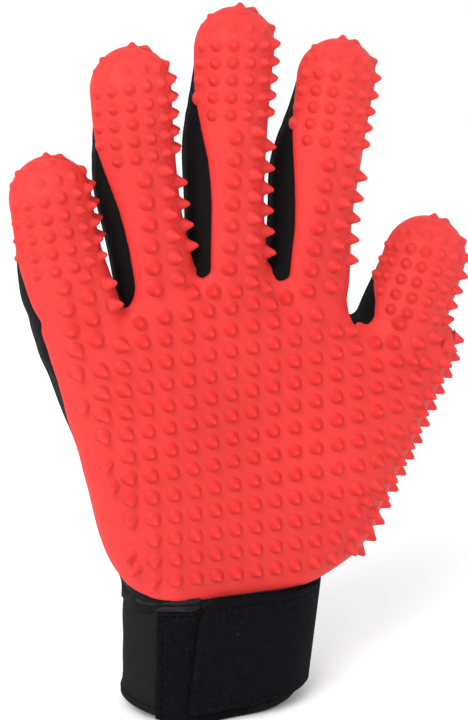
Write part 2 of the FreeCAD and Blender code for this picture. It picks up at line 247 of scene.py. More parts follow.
# How far the palm side and the back stand out at these heights
DEPTH_Z = (40.0, 62.0, 83.0, 105.0, 122.0, 137.0, 150.0)
FRONT_DEPTH = (20.0, 18.6, 17.0, 15.4, 13.8, 12.2, 11.0)
BACK_DEPTH = (19.4, 17.2, 15.4, 14.2, 13.2, 12.0, 11.0)


def palm_front(x, z):
    """How far the palm side stands out, mounds included."""
    depth = np.interp(z, DEPTH_Z, FRONT_DEPTH)
    for cx, cz, radius, height in MOUNDS:
        depth = depth + height * np.exp(-((x - cx) ** 2 + (z - cz) ** 2) / radius ** 2 * 1.6)
    return depth


def palm_back(x, z):
    """How far the back of the hand stands out: a low mound over each knuckle, and soft folds at the wrist."""
    depth = np.interp(z, DEPTH_Z, BACK_DEPTH)
    for digit in DIGITS[:4]:
        cx, cz = digit["knuckle"][0], digit["knuckle"][2] - 14.0
        depth = depth + 1.6 * np.exp(-((x - cx) ** 2 + (z - cz) ** 2) / 90.0)
    folds = np.sin(z * 0.62 + 0.9 * np.sin(x * 0.09) + 0.05 * x)
    return depth + 0.55 * folds * smooth_step(78.0, 56.0, z)


def edge_radius(z):
    """How round the palm's edges are."""
    return np.interp(z, (40.0, 100.0, 125.0, 140.0), (15.5, 13.0, 10.0, 7.5))


def palm_field(points):
    """Signed distance to the hand's fabric: a slab in the palm's outline, with round edges."""
    x, y, z = points.T
    side = palm_map(x, z) + PALM_INSET
    half = np.where(y < 0, palm_front(x, z), palm_back(x, z)) - PALM_INSET
    edge = edge_radius(z)
    a = np.maximum(side + edge, 0.0)
    b = np.maximum(np.abs(y) - (half - edge), 0.0)
    return np.sqrt(a * a + b * b) - edge + np.minimum(np.maximum(side + edge, np.abs(y) - half + edge), 0.0)


def glove_field(points):
    """Signed distance to the glove's fabric, negative inside."""
    digits = np.min([digit_field(digit, points) for digit in DIGITS], axis=0)
    return smooth_min(digits, palm_field(points), 4.0)


def web_height(first, second):
    """How high the skin reaches between two digits."""
    top = first["knuckle"] + first["along"] * (first["reach"] * 0.7)
    base = (first["knuckle"] + second["knuckle"]) / 2
    other = second["knuckle"] + second["along"] * (second["reach"] * 0.7)
    rise = ((top + other) / 2 - base) / 400.0
    path = base + rise * np.arange(-250, 400)[:, None]
    across = (second["knuckle"] - first["knuckle"]) * 0.5
    best = np.full(len(path), -99.0)
    for share in np.linspace(-1, 1, 41):
        best = np.maximum(best, glove_field(path + across * share))
    return path[best < 0.4][:, 2].max()


def set_roots():
    """Finds where each digit is free of its neighbours, and the skin zones that bend."""
    webs = [web_height(a, b) for a, b in zip(DIGITS, DIGITS[1:])]
    for index, digit in enumerate(DIGITS):
        heights = webs[max(index - 1, 0):index + 1]
        lean = digit["along"][2]
        root = max((height - digit["knuckle"][2]) / lean for height in heights) + 1.0
        first = bend_zone(digit["turns"][0], digit["radius"])
        second = bend_zone(digit["turns"][1], digit["radius"])
        start = max(root + first + 0.6, digit["bend"] - second / 2)
        digit["root"] = root
        digit["zones"] = [(root + 0.2, root + first), (start, start + second)]
        digit["cut"] = (root + first + start) / 2


def field_normals(points, step=0.15):
    """The field's slope at the points."""
    grad = np.empty_like(points)
    for axis in range(3):
        shift = np.zeros(3)
        shift[axis] = step
        grad[:, axis] = (glove_field(points + shift) - glove_field(points - shift)) / (2 * step)
    return grad


def unit(vectors):
    return vectors / np.maximum(np.linalg.norm(vectors, axis=-1, keepdims=True), 1e-9)


def distance_along(path):
    """How far each point of a path is from its start."""
    return np.concatenate([[0], np.cumsum(np.linalg.norm(np.diff(path, axis=0), axis=1))])


def onto_surface(points, level=0.0, rounds=3):
    """Moves points along the field's slope until it reads level."""
    for _ in range(rounds):
        grad = field_normals(points)
        size = np.maximum((grad ** 2).sum(1), 0.05)
        points = points - grad * ((glove_field(points) - level) / size)[:, None]
    return points


# ------------------------------------------------------------------ from field to mesh

def surface_nets(field, low, high, step):
    """A quad mesh of a field's zero surface, one vertex in each grid cell that it crosses."""
    axes = [np.arange(a, b + step, step) for a, b in zip(low, high)]
    shape = tuple(len(a) for a in axes)
    grid = np.stack(np.meshgrid(*axes, indexing="ij"), -1).reshape(-1, 3)
    values = field(grid).reshape(shape)
    inside = values < 0
    cells = tuple(n - 1 for n in shape)
    total, count = np.zeros(cells + (3,)), np.zeros(cells)
    corners = [(i, j, k) for i in (0, 1) for j in (0, 1) for k in (0, 1)]

    def corner(array, c):
        return array[c[0]:c[0] + cells[0], c[1]:c[1] + cells[1], c[2]:c[2] + cells[2]]

    for a in corners:
        for axis in range(3):
            if a[axis]:
                continue
            b = tuple(v + (n == axis) for n, v in enumerate(a))
            va, vb = corner(values, a), corner(values, b)
            crossed = corner(inside, a) != corner(inside, b)
            t = np.where(crossed, va / np.where(crossed, va - vb, 1.0), 0.0)
            for n in range(3):
                total[..., n] += np.where(crossed, a[n] + (t if n == axis else 0.0), 0.0)
            count += crossed
    used = count > 0
    number = np.full(cells, -1)
    number[used] = np.arange(used.sum())
    where = np.argwhere(used)
    verts = np.array(low) + step * (where + total[used] / count[used][:, None])
    quads = []
    for axis in range(3):
        a = [slice(None)] * 3
        b = [slice(None)] * 3
        a[axis], b[axis] = slice(0, -1), slice(1, None)
        change = inside[tuple(a)] != inside[tuple(b)]
        spots = np.argwhere(change)
        others = [n for n in range(3) if n != axis]
        keep = np.all([(spots[:, n] > 0) & (spots[:, n] < cells[n]) for n in others], axis=0)
        spots = spots[keep]
        ring = []
        for du, dv in ((-1, -1), (0, -1), (0, 0), (-1, 0)):
            cell = spots.copy()
            cell[:, others[0]] += du
            cell[:, others[1]] += dv
            ring.append(number[tuple(cell.T)])
        faces = np.stack(ring, 1)
        outward = inside[tuple(spots.T)]
        flip = ~outward if axis != 1 else outward
        faces[flip] = faces[flip][:, ::-1]
        quads.append(faces)
    return verts, np.concatenate(quads)


def relax(verts, faces, rounds):
    """Evens the mesh out along the surface."""
    n = faces.shape[1]
    pairs = np.concatenate([faces[:, [i, (i + 1) % n]] for i in range(n)])
    pairs = np.unique(np.sort(pairs, axis=1), axis=0)
    for _ in range(rounds):
        total = np.zeros_like(verts)
        count = np.zeros(len(verts))
        for a, b in (pairs.T, pairs.T[::-1]):
            np.add.at(total, a, verts[b])
            np.add.at(count, a, 1)
        verts = onto_surface(verts + 0.5 * (total / count[:, None] - verts), rounds=1)
    return verts


def split(verts, tris, values, marks):
    """Cuts triangles where values change sign; marks are other per-vertex values carried along."""
    positive = values >= 0
    edges = np.concatenate([tris[:, [0, 1]], tris[:, [1, 2]], tris[:, [2, 0]]])
    edges = np.unique(np.sort(edges[positive[edges[:, 0]] != positive[edges[:, 1]]], axis=1), axis=0)
    if not len(edges):
        return verts, tris, values, marks
    a, b = edges.T
    t = (values[a] / (values[a] - values[b]))[:, None]
    base = len(verts)
    verts = np.concatenate([verts, verts[a] + (verts[b] - verts[a]) * t])
    marks = np.concatenate([marks, marks[a] + (marks[b] - marks[a]) * t])
    values = np.concatenate([values, np.zeros(len(edges))])
    keys = edges[:, 0] * base + edges[:, 1]

    def middle(p, q):
        key = np.minimum(p, q) * base + np.maximum(p, q)
        return base + np.searchsorted(keys, key)

    sign = positive[tris]
    ups = sign.sum(1)
    result = [tris[(ups == 0) | (ups == 3)]]
    for lone_up, group in ((True, tris[ups == 1]), (False, tris[ups == 2])):
        lone = np.argmax(positive[group] == lone_up, axis=1)
        rows = np.arange(len(group))
        p, q, r = (group[rows, (lone + n) % 3] for n in range(3))
        pq, rp = middle(p, q), middle(r, p)
        result += [np.stack([p, pq, rp], 1), np.stack([pq, q, r], 1), np.stack([pq, r, rp], 1)]
    return verts, np.concatenate(result), values, marks


def vertex_normals(verts, tris):
    """Smooth normals from the triangles round each point."""
    a, b, c = (verts[tris[:, n]] for n in range(3))
    face = np.cross(b - a, c - a)
    total = np.zeros_like(verts)
    for n in range(3):
        np.add.at(total, tris[:, n], face)
    return unit(total)


# ------------------------------------------------------------------ the pad's region

def nearest_digit(points):
    return np.argmin([digit_field(digit, points) for digit in DIGITS], axis=0)


# The pad's edge round a digit: distance from the tip, and angle from the palm side in degrees.
# On its little-finger side the edge runs forward below the tip; on its thumb side it hardly does.
EDGE_TURN = {
    "little": [(8, 104), (14, 98), (26, 84), (33, 75), (37, 68), (43, 60), (50, 56), (60, 54)],
    "ring": [(8, 104), (15, 96), (22, 88), (28, 79), (35, 66), (42, 56), (49, 48), (56, 43), (63, 40), (82, 40)],
    "middle": [(8, 104), (15, 96), (22, 84), (28, 75), (35, 62), (42, 52), (49, 43), (56, 38), (63, 35), (82, 36)],
    "index": [(8, 104), (15, 94), (22, 82), (28, 73), (35, 63), (42, 55), (49, 49), (56, 44), (63, 40), (82, 38)],
    "thumb": [(8, 104), (14, 100), (22, 93), (30, 83), (38, 72), (46, 68)],
}
FAR_SIDE_TURN = [(8, 106), (16, 100), (30, 92), (45, 88), (80, 86)]
# On the palm: how far back the edge lies along the little-finger side, over height
LITTLE_SIDE_EDGE = ((70, 84, 100, 112, 125), (3.5, 3.5, 2.8, 0.4, -0.8))
THUMB_CROTCH = (50.5, 131.0)      # x and z


def edge_height(from_tip, turns):
    """The pad's edge at a distance from a digit's tip, as a share of the radius behind its middle."""
    return -np.cos(np.radians(np.interp(from_tip, *zip(*turns))))


def pad_edge_y(points):
    """Front-to-back position of the pad's edge: behind the fingertips, and further forward on the
    little-finger side of each digit than on its thumb side."""
    px, _, pz = points.T
    distances = np.array([digit_field(digit, points) for digit in DIGITS])
    weights = np.exp(-(distances - distances.min(0)) / 0.8)
    weights /= weights.sum(0)
    palm = -6.5 + 7.0 * smooth_step(-50.0, 50.0, px)
    palm += 3.0 * smooth_step(100.0, 70.0, pz) * smooth_step(10.0, -30.0, px)
    palm += np.interp(pz, *LITTLE_SIDE_EDGE) * smooth_step(-38.0, -50.0, px)
    crotch = np.hypot(px - THUMB_CROTCH[0], pz - THUMB_CROTCH[1])
    palm -= 8.0 * smooth_step(18.0, 7.0, crotch)
    total = np.zeros(len(points))
    for digit, weight in zip(DIGITS, weights):
        x, _, s = digit_axes(digit, points)
        radius = digit_radius(digit, s)
        left = edge_height(digit["reach"] - s, EDGE_TURN[digit["name"]])
        right = edge_height(digit["reach"] - s, FAR_SIDE_TURN)
        side = smooth_step(-0.6, 0.7, x / radius)
        edge = radius * DEPTH_RATIO * (left + (right - left) * side)
        total += weight * (palm + (edge - palm) * smooth_step(digit["web"] - 12.0, digit["web"] + 2.0, s))
    return total - 2.5 * smooth_step(15.0, 6.0, crotch)


def pad_bottom(x):
    """Height of the pad's lower edge."""
    return np.interp(x, (-46.0, -41.5, -37.0, -30.0, -15.0, 0.0, 14.0, 29.0, 38.0, 45.0, 55.0),
                     (62.0, 53.0, 47.3, 44.2, 42.6, 42.0, 42.6, 44.6, 46.0, 47.0, 49.0))


def pad_margin(points):
    """Distance inside the pad's edge, along the surface; negative off the pad."""
    side = pad_edge_y(points) - points[:, 1]
    return smooth_min(side, points[:, 2] - pad_bottom(points[:, 0]), 9.0)


def pad_height(margin):
    """The pad's thickness at a distance inside its edge."""
    t = np.clip(margin / PAD_ROUND, 0.0, 1.0)
    return 0.25 + (PAD_THICKNESS - 0.25) * np.sqrt(1 - (1 - t) ** 2)


# ------------------------------------------------------------------ Blender objects

def make_object(name, verts, faces, normals=None):
    """An object in the frame's place, its points given in millimetres."""
    mesh = bpy.data.meshes.new(name)
    mesh.from_pydata((np.asarray(verts) * MM).tolist(), [], [list(map(int, f)) for f in faces])
    mesh.update()
    mesh.polygons.foreach_set("use_smooth", [True] * len(mesh.polygons))
    if normals is not None:
        mesh.normals_split_custom_set_from_vertices(np.asarray(normals).tolist())
    obj = bpy.data.objects.new(name, mesh)
    bpy.context.scene.collection.objects.link(obj)
    return obj


def shell(verts, normals, tris, outer, inner):
    """A closed sheet: its outer and inner faces are offset along the normals, with a rim between."""
    used = np.unique(tris)
    number = np.full(len(verts), -1)
    number[used] = np.arange(len(used))
    tris = number[tris]
    outer, inner = (np.broadcast_to(v, (len(verts),))[used][:, None] for v in (outer, inner))
    v, n = verts[used], normals[used]
    count = len(used)
    edges = np.concatenate([tris[:, [0, 1]], tris[:, [1, 2]], tris[:, [2, 0]]])
    keys = edges[:, 0] * count + edges[:, 1]
    back = edges[:, 1] * count + edges[:, 0]
    rim = edges[~np.isin(keys, back)]
    faces = tris.tolist() + (tris[:, ::-1] + count).tolist()
    faces += [[b, a, a + count, b + count] for a, b in rim.tolist()]
    return np.concatenate([v + n * outer, v + n * inner]), faces, used


def finish_piece(piece, material, nodes=()):
    """Gives a piece its material, and hides the CAD nodes that it stands for."""
    piece.data.materials.append(material)
    if nodes:
        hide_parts(*nodes)


class Pieces:
    """Collects points and faces that end up in one object."""

    def __init__(self):
        self.verts, self.faces, self.normals, self.count = [], [], [], 0

    def add(self, verts, faces, normals):
        self.verts.append(verts)
        self.normals.append(normals)
        self.faces += [[i + self.count for i in face] for face in faces]
        self.count += len(verts)

    def build(self, name):
        return make_object(name, np.concatenate(self.verts), self.faces, np.concatenate(self.normals))


# ------------------------------------------------------------------ nubs

# Radius and height up a nub, as shares of its own: a flared foot, then a cone or a low dome with a round top
CONE_STEPS = [(1.42, -0.15), (1.25, -0.04), (1.10, 0.05), (0.97, 0.14), (0.81, 0.32), (0.65, 0.52), (0.48, 0.72),
              (0.34, 0.87), (0.20, 0.96), (0.09, 0.995)]
DOME_STEPS = [(1.38, -0.15), (1.17, 0.0), (0.99, 0.12), (0.83, 0.32), (0.65, 0.55), (0.45, 0.78), (0.28, 0.92),
              (0.12, 0.99)]


def nub_profile(steps, radius, height):
    return [(radius * r, height * h) for r, h in steps]


def ring_faces(rings, sides):
    """The quads between rings of points, one ring after another."""
    return [[n * sides + i, n * sides + (i + 1) % sides, (n + 1) * sides + (i + 1) % sides, (n + 1) * sides + i]
            for n in range(rings - 1) for i in range(sides)]


def nub_mesh(foot, normal, axis, profile):
    """A nub as verts, faces and normals. Its rings lie flat on the skin, and it leans along axis."""
    helper = np.array([0.0, 0.0, 1.0]) if abs(normal[2]) < 0.8 else np.array([1.0, 0.0, 0.0])
    u = unit(np.cross(helper, normal))
    v = np.cross(normal, u)
    axis = axis / (axis @ normal)
    angles = np.arange(NUB_SIDES) * 2 * math.pi / NUB_SIDES
    ring = np.cos(angles)[:, None] * u + np.sin(angles)[:, None] * v
    verts = [foot + ring * r + (axis if h > 0 else normal) * h for r, h in profile]
    verts.append((foot + axis * profile[-1][1] + axis * 0.02)[None])
    normals = []
    for n in range(len(profile)):
        r0, h0 = profile[max(n - 1, 0)]
        r1, h1 = profile[min(n + 1, len(profile) - 1)]
        normals.append(unit(ring * (h1 - h0) + axis * (r0 - r1)))
    normals.append(unit(axis)[None])
    top = len(profile) * NUB_SIDES
    last = top - NUB_SIDES
    faces = ring_faces(len(profile), NUB_SIDES)
    faces += [[last + i, last + (i + 1) % NUB_SIDES, top] for i in range(NUB_SIDES)]
    return np.concatenate(verts), faces, np.concatenate(normals)


def on_digit(digit, s, angle):
    """A point on the pad of a digit, at s along it and at an angle round from the palm side."""
    radius = digit_radius(digit, np.array([s]))[0] + PAD_THICKNESS
    out = digit["across"] * math.sin(angle) + np.array([0.0, -1.0, 0.0]) * math.cos(angle)
    rise = min(max(s - digit["centre"], 0.0) / radius, 0.98)
    point = digit["knuckle"] + digit["along"] * s + out * radius * math.sqrt(1 - rise * rise)
    return onto_surface(point[None], PAD_THICKNESS)[0]


def on_palm(x, z):
    """The point of the palm's pad at x and z."""
    y = -(palm_front(np.array([x]), np.array([z]))[0] + PAD_THICKNESS)
    point = np.array([[x, y, z]])
    for _ in range(6):
        ahead = glove_field(point + [0.0, -0.1, 0.0]) - glove_field(point + [0.0, 0.1, 0.0])
        slope = np.maximum(ahead / 0.2, 0.3)
        point[:, 1] += np.clip((glove_field(point) - PAD_THICKNESS) / slope, -3, 3)
    return point[0]


class NubField:
    """The nubs so far: foot, the skin's normal, lean and profile of each. One that would hang over
    the pad's edge or crowd another is left out."""

    def __init__(self):
        self.items = []

    def add(self, point, profile, lean=(0.0, 0.0, 0.0), margin=1.8, apart=4.2):
        if pad_margin(point[None])[0] < margin:
            return
        if self.items:
            others = np.array([item[0] for item in self.items])
            if ((others - point) ** 2).sum(1).min() < apart ** 2:
                return
        normal = unit(field_normals(point[None]))[0]
        self.items.append((point, normal, unit(normal + np.array(lean)), profile))


def fingertip_nubs(nubs, digit):
    """Rows of low rounded nubs over a fingertip, fading out at its end, and small ones round its crown."""
    for row in range(-1, 6):
        s = digit["reach"] - (TIP_START + TIP_ROWS * row)
        fade = (0.4, 0.6, 0.9)[row + 1] if row < 2 else 1.0
        ring = digit["tip_radius"] * math.sqrt(max(1 - max((s - digit["centre"]) / digit["tip_radius"], 0) ** 2, 0.1))
        turn = math.degrees(TIP_COLUMNS / ring)
        for column in range(-4, 4):
            degrees = column * turn + 6.0
            if not -98 < degrees < 96:
                continue
            if degrees > 62:
                degrees = max(degrees, 72.0)
            height = BUTTON[1] * fade * (1.1 if degrees > 40 else 0.9 if degrees < -60 else 1.0)
            rise = 0.9 * column if row > 0 else 0.0
            point = on_digit(digit, s + rise * 0.35, math.radians(degrees))
            nubs.add(point, nub_profile(DOME_STEPS, BUTTON[0], height), apart=3.9)
    for turn in np.radians((-66, -42, -18, 6, 30, 54, 76)):
        out = digit["across"] * math.sin(turn) + digit["along"] * math.cos(turn) + np.array([0.0, -0.1, 0.0])
        point = digit["knuckle"] + digit["along"] * digit["centre"] + unit(out) * digit["tip_radius"]
        nubs.add(onto_surface(point[None], PAD_THICKNESS)[0], nub_profile(DOME_STEPS, *CROWN_BUMP), apart=3.6)


# Columns of cones down each digit: angles from the palm side in degrees, and how far below the tip they start
NUB_COLUMNS = {"little": ((-12, 18, 50), 39.5), "ring": ((-10, 24, 60), 41.0), "middle": ((-10, 24, 60), 41.0),
               "index": ((-10, 22, 52), 41.0), "thumb": ((-22, 10, 42, 70), 38.0)}


def finger_nubs(nubs, digit):
    """Columns of cones down a finger; the rows rise towards the thumb side."""
    columns, start = NUB_COLUMNS[digit["name"]]
    for column, degrees in enumerate(columns):
        s = digit["reach"] - start + 2.2 * column
        stop = digit["root"] - (14.0 if degrees < 40 else 5.0)
        while s > stop:
            point = on_digit(digit, s, math.radians(degrees))
            nubs.add(point, nub_profile(CONE_STEPS, *SPIKE), lean=(0.12, 0.0, -0.16))
            s -= SPIKE_PITCH


def palm_side(x, z):
    """Distance to the palm's edge, negative inside it."""
    return palm_map(np.array([x]), np.array([z]))[0] + PALM_INSET


def edge_lean(x, z):
    """1 along the palm's little-finger edge, where the cones lean towards the thumb, and 0 elsewhere."""
    return float(smooth_step(-26.0, -50.0, x) * smooth_step(62.0, 80.0, z))


def palm_lattice(nubs):
    """The palm's columns of cones. The rows rise towards the thumb, less so near the wrist."""
    for column in range(-7, 14):
        for row in range(-2, 20):
            z = LATTICE_Z + LATTICE * row
            spread = 1.0 + 0.0008 * (z - 50.0)
            x = LATTICE_X + LATTICE * column * 0.98 * spread - 0.02 * (z - 50.0)
            z += 0.095 * LATTICE * column * float(smooth_step(45.0, 110.0, z))
            z += 0.0022 * (x * x) * 0.25
            if palm_side(x, z) > -4.6 - 2.0 * float(smooth_step(100.0, 60.0, z)) or z > LATTICE_TOP:
                continue
            lean_x = 0.55 * edge_lean(x, z) + 0.12 * float(smooth_step(0.0, 50.0, x))
            lean_z = -0.14 - 0.2 * float(smooth_step(-20.0, -50.0, x))
            nubs.add(on_palm(x, z), nub_profile(CONE_STEPS, *CONE), lean=(lean_x, 0.0, lean_z), margin=2.6, apart=4.9)


def palm_edge_nubs(nubs):
    """Cones round the palm's thumb-side edge, in columns that follow its outline."""
    curve = closed_curve(PALM_OUTLINE, 40)
    right = curve[(curve[:, 0] > 34) & (curve[:, 1] > 45.5) & (curve[:, 1] < 131)]
    right = right[np.argsort(right[:, 1])]
    length = distance_along(right)
    for column, degrees in enumerate((67, 31)):
        at = 1.5 + 3.0 * column
        while at < length[-1]:
            x, z = (np.interp(at, length, right[:, n]) for n in (0, 1))
            ahead = [np.interp(at + 1.0, length, right[:, n]) for n in (0, 1)]
            out = unit(np.array([ahead[1] - z, 0.0, -(ahead[0] - x)]))
            edge = float(edge_radius(z))
            centre = np.array([x, 0.0, z]) - out * (edge + PALM_INSET)
            centre[1] = -(palm_front(x, z) - PALM_INSET - edge)
            angle = math.radians(degrees)
            outwards = out * math.sin(angle) + np.array([0.0, -math.cos(angle), 0.0])
            point = onto_surface((centre + outwards * (edge + PAD_THICKNESS))[None], PAD_THICKNESS)[0]
            nubs.add(point, nub_profile(CONE_STEPS, *SPIKE), lean=(0.1, 0.0, -0.2), margin=1.2, apart=5.2)
            at += EDGE_PITCH


def fill_nubs(nubs):
    """Cones in the bare spots that are left between the palm's columns and the digits' columns."""
    for z in np.arange(52.0, 150.0, 1.8):
        for x in np.arange(-62.0, 74.0, 1.8):
            feet = np.array([item[0] for item in nubs.items])
            if palm_side(x, z) > -4.0 or np.hypot(feet[:, 0] - x, feet[:, 2] - z).min() < 5.6:
                continue
            lean = (0.5 * edge_lean(x, z), 0.0, -0.2)
            nubs.add(on_palm(x, z), nub_profile(CONE_STEPS, *CONE), lean=lean, margin=2.6, apart=5.2)


# ------------------------------------------------------------------ build the glove skin

SKIN_PIECES = 1 + 2 * len(DIGITS)      # the palm, then each digit's lower skin and tip skin


def glove_mesh():
    """The glove's surface as even triangles, each quad cut along its shorter diagonal."""
    verts, quads = surface_nets(glove_field, SKIN_LOW, SKIN_HIGH, VOXEL)
    verts = relax(onto_surface(verts, rounds=2), quads, 3)
    a, b, c, d = (verts[quads[:, n]] for n in range(4))
    short = ((a - c) ** 2).sum(1) < ((b - d) ** 2).sum(1)
    first = np.where(short[:, None], quads[:, [0, 1, 2]], quads[:, [0, 1, 3]])
    second = np.where(short[:, None], quads[:, [0, 2, 3]], quads[:, [1, 2, 3]])
    return verts, np.concatenate([first, second])


def piece_numbers(points):
    """0 for the palm, then 1 and 2 for the first digit's lower and tip skin, and so on."""
    near = nearest_digit(points)
    numbers = np.zeros(len(points), int)
    for index, digit in enumerate(DIGITS):
        s = digit_axes(digit, points)[2]
        numbers[(near == index) & (s > digit["root"])] = 2 * index + 1
        numbers[(near == index) & (s > digit["cut"])] = 2 * index + 2
    return numbers


def digit_height(verts, index, level):
    """Height above a level on one digit, and well below it on everything else."""
    s = digit_axes(DIGITS[index], verts)[2] - level
    return np.where(nearest_digit(verts) == index, np.maximum(s, -9.0), -9.0)


def cut_skin(verts, tris):
    """Cuts the surface at each digit's root and middle, and drops what is below the wrist."""
    no_marks = np.zeros((len(verts), 1))
    verts, tris, values, no_marks = split(verts, tris, verts[:, 2] - SKIN_FOOT, no_marks)
    tris = tris[(values[tris] >= 0).all(1)]
    for index, digit in enumerate(DIGITS):
        for level in (digit["root"], digit["cut"]):
            verts, tris, _, no_marks = split(verts, tris, digit_height(verts, index, level), no_marks)
    return verts, tris


def blend_piece(piece, number):
    """Ties the palm's skin piece to the palm's body; any other piece only has its transform baked into its mesh."""
    if number == 0:
        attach(piece, "palm")
        return
    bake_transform(piece)


def piece_label(number):
    """The part of the glove that a skin piece is on, as its name's ending."""
    if number == 0:
        return "palm"
    return DIGITS[(number - 1) // 2]["name"] + ("_lower", "_tip")[(number - 1) % 2]


def replaced_nodes(number):
    """The CAD nodes that a skin piece's back, gusset and pad stand for."""
    label = piece_label(number)
    if number == 0:
        return {"back": ("back_panel", "palm_lining", "knuckle_sleeves"),
                "gusset": ("little_side_gusset", "thumb_side_gusset", "web_gussets"),
                "pad": ("palm_pad", "palm_nubs")}
    name = label.split("_")[0]
    return {"back": (label + "_back",), "gusset": (name + "_gussets", name + "_bend_sleeve") if number % 2 else (),
            "pad": (label + "_pad", label + "_nubs")}


# ------------------------------------------------------------------ materials

class Look:
    """A material in the making, with textures that sit still in the object's own space."""

    def __init__(self, name, roughness, specular):
        self.material = bpy.data.materials.new(name)
        self.material.use_nodes = True
        self.nodes = self.material.node_tree.nodes
        self.link = self.material.node_tree.links.new
        self.shader = self.nodes["Principled BSDF"].inputs
        self.shader["Roughness"].default_value = roughness
        self.shader["Specular IOR Level"].default_value = specular

    def texture(self, kind, output, scale, **settings):
        """An output of a texture; the settings are its other sockets."""
        node = self.nodes.new("ShaderNodeTex" + kind)
        node.inputs["Scale"].default_value = scale
        for socket, value in settings.items():
            node.inputs[socket].default_value = value
        self.link(self.nodes.new("ShaderNodeTexCoord").outputs["Object"], node.inputs["Vector"])
        return node.outputs[output]

    def ramp(self, source, low, high, start=0.0, end=1.0):
        """A colour that goes from low to high as the source goes from start to end."""
        node = self.nodes.new("ShaderNodeValToRGB")
        for element, position, colour in zip(node.color_ramp.elements, (start, end), (low, high)):
            element.position = position
            element.color = colour + (1,)
        self.link(source, node.inputs["Fac"])
        return node.outputs["Color"]

    def colour(self, source, *ramp):
        self.link(self.ramp(source, *ramp), self.shader["Base Color"])

    def bump(self, source, strength, distance):
        node = self.nodes.new("ShaderNodeBump")
        node.inputs["Strength"].default_value = strength
        node.inputs["Distance"].default_value = distance
        self.link(source, node.inputs["Height"])
        self.link(node.outputs["Normal"], self.shader["Normal"])


def silicone_material():
    """Matte red silicone: a little light goes through it, and its skin is very finely uneven."""
    look = Look("red_silicone", 0.62, 0.28)
    cloud = look.texture("Noise", "Fac", 28.0, Detail=3.0)
    look.colour(cloud, (0.57, 0.024, 0.022), (0.64, 0.030, 0.027), 0.3, 0.7)
    look.bump(look.texture("Noise", "Fac", 2600.0, Detail=2.0), 0.08, 0.0002)
    look.shader["Subsurface Weight"].default_value = 0.15
    look.shader["Subsurface Radius"].default_value = (0.004, 0.0012, 0.001)
    look.shader["Subsurface Scale"].default_value = 1.0
    return look.material


def mesh_fabric_material():
    """Black breathable mesh: small round holes in a close knit."""
    look = Look("black_mesh", 0.85, 0.08)
    holes = look.texture("Voronoi", "Distance", 620.0, Randomness=0.25)
    look.colour(holes, (0.0012, 0.0012, 0.0012), (0.0100, 0.0095, 0.0100), 0.18, 0.42)
    look.bump(holes, 0.9, 0.0006)
    return look.material


def knit_material():
    """Smooth stretch knit with very fine wales."""
    look = Look("black_knit", 0.8, 0.1)
    cloud = look.texture("Noise", "Fac", 60.0)
    look.colour(cloud, (0.0030, 0.0030, 0.0034), (0.0055, 0.0050, 0.0055), 0.35, 0.7)
    look.bump(look.texture("Wave", "Fac", 420.0, Distortion=1.5, Detail=2.0), 0.25, 0.0003)
    return look.material


def thread_material():
    """Twisted black thread."""
    look = Look("thread", 0.6, 0.3)
    look.colour(look.texture("Noise", "Fac", 1500.0), (0.007, 0.007, 0.008), (0.012, 0.012, 0.0135))
    return look.material


# Cloths whose colour and surface vary with fine noise: the two colours, the noise's scale and detail,
# the bump's strength and depth, roughness and specular level
CLOTHS = {
    "neoprene": ((0.0075, 0.0075, 0.0078), (0.0115, 0.0115, 0.0120), 900.0, 3.0, 0.25, 0.0003, 0.9, 0.08),
    "binding_tape": ((0.0055, 0.0055, 0.0058), (0.0090, 0.0090, 0.0094), 1200.0, 3.0, 0.3, 0.0003, 0.85, 0.08),
    "hook_tape": ((0.004, 0.004, 0.006), (0.014, 0.014, 0.018), 1400.0, 3.0, 0.8, 0.0006, 0.5, 0.08),
    "coated_fabric": ((0.0015, 0.0015, 0.0018), (0.003, 0.003, 0.0035), 500.0, 3.0, 0.15, 0.0003, 0.5, 0.2),
    "loop_pile": ((0.0010, 0.0010, 0.0020), (0.0038, 0.0038, 0.0058), 700.0, 5.0, 0.9, 0.0008, 0.95, 0.1),
}


def fine_cloth(name):
    """One of the cloths above, as a look that can be added to."""
    low, high, scale, detail, strength, depth, roughness, specular = CLOTHS[name]
    look = Look(name, roughness, specular)
    grain = look.texture("Noise", "Fac", scale, Detail=detail)
    look.colour(grain, low, high, 0.3, 0.72)
    look.bump(grain, strength, depth)
    return look


def pile_material():
    """Brushed pile, near black with a blue cast, and a few pale specks of lint."""
    look = fine_cloth("loop_pile")
    black, white = (0, 0, 0), (1, 1, 1)
    cells = look.ramp(look.texture("Voronoi", "Distance", 260.0), white, black, 0.05, 0.09)
    few = look.ramp(look.texture("Noise", "Fac", 130.0), black, white, 0.58, 0.66)
    both = look.nodes.new("ShaderNodeMath")
    both.operation = "MULTIPLY"
    look.link(cells, both.inputs[0])
    look.link(few, both.inputs[1])
    mix = look.nodes.new("ShaderNodeMix")
    mix.data_type = "RGBA"
    mix.inputs["B"].default_value = (0.05, 0.05, 0.055, 1)
    look.link(both.outputs["Value"], mix.inputs["Factor"])
    look.link(look.shader["Base Color"].links[0].from_socket, mix.inputs["A"])
    look.link(mix.outputs["Result"], look.shader["Base Color"])
    return look.material


# ------------------------------------------------------------------ the skin's pieces

def build_skin():
    """The glove's skin as points and triangles, cut where its pieces meet."""
    set_roots()
    return cut_skin(*glove_mesh())


def seam_y(points):
    """Front-to-back position of the seam between the gussets and the back panel."""
    return points[:, 1] - 3.5 - 3.0 * smooth_step(100.0, 60.0, points[:, 2])


